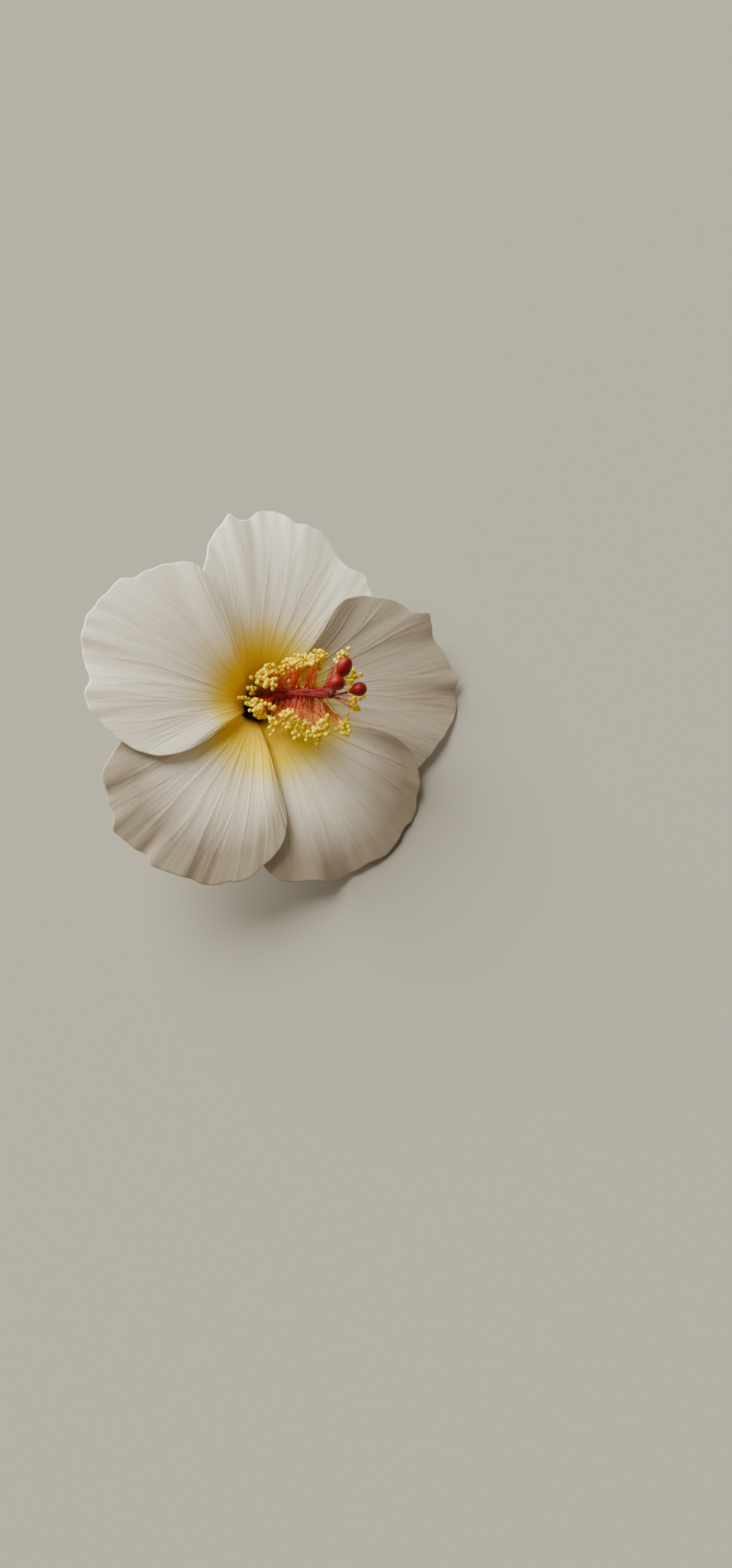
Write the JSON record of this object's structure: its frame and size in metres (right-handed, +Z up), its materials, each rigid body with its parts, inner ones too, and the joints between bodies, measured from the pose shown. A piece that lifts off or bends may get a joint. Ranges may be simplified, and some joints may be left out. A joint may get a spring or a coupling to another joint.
{
  "type": "hibiscus flower",
  "caption": "Open white hibiscus blossom lying down: broad overlapping petals with a yellow throat, a thread-like red column ringed by yellow anthers, and red stigmas.",
  "frame": {"origin": "centre of the underside of the bounding box, on the surface the flower lies on", "axes": "+Z up from the surface; the flower leans back towards -X and its open face looks up and towards +X; +Y is towards the top petal"},
  "size_m": [0.1172, 0.1188, 0.0614],
  "materials": {
    "petal": "matte, soft, faintly translucent petal tissue, white with a golden yellow throat",
    "calyx": "matte green leaf tissue",
    "stalk": "matte green stem with a pale cut end",
    "thread": "matte red, ribbed lengthwise like a bundle of threads",
    "stigma": "deep red, soft satin",
    "stamen": "matte red to orange thread with bright yellow anther grains"
  },
  "bodies": {
    "root": {"petal_left": "petal", "petal_top": "petal", "petal_right": "petal", "petal_lower_left": "petal", "petal_lower_right": "petal", "calyx": "calyx", "bract_1": "calyx", "bract_2": "calyx", "bract_3": "calyx", "bract_4": "calyx", "bract_5": "calyx", "bract_6": "calyx", "bract_7": "calyx", "stalk": "stalk", "staminal_column": "thread", "style": "thread", "style_branch_1": "thread", "style_branch_2": "thread", "style_branch_3": "thread", "stigma_1": "stigma", "stigma_2": "stigma", "stigma_3": "stigma", "stamen_01": "stamen", "stamen_02": "stamen", "stamen_03": "stamen", "stamen_04": "stamen", "stamen_05": "stamen", "stamen_06": "stamen", "stamen_07": "stamen", "stamen_08": "stamen", "stamen_09": "stamen", "stamen_10": "stamen", "stamen_11": "stamen", "stamen_12": "stamen", "stamen_13": "stamen", "stamen_14": "stamen", "stamen_15": "stamen", "stamen_16": "stamen", "stamen_17": "stamen", "stamen_18": "stamen", "stamen_19": "stamen", "stamen_20": "stamen", "stamen_21": "stamen", "stamen_22": "stamen", "stamen_23": "stamen", "stamen_24": "stamen", "stamen_25": "stamen", "stamen_26": "stamen", "stamen_27": "stamen", "stamen_28": "stamen", "stamen_29": "stamen", "stamen_30": "stamen", "stamen_31": "stamen", "stamen_32": "stamen"}
  },
  "joints": []
}
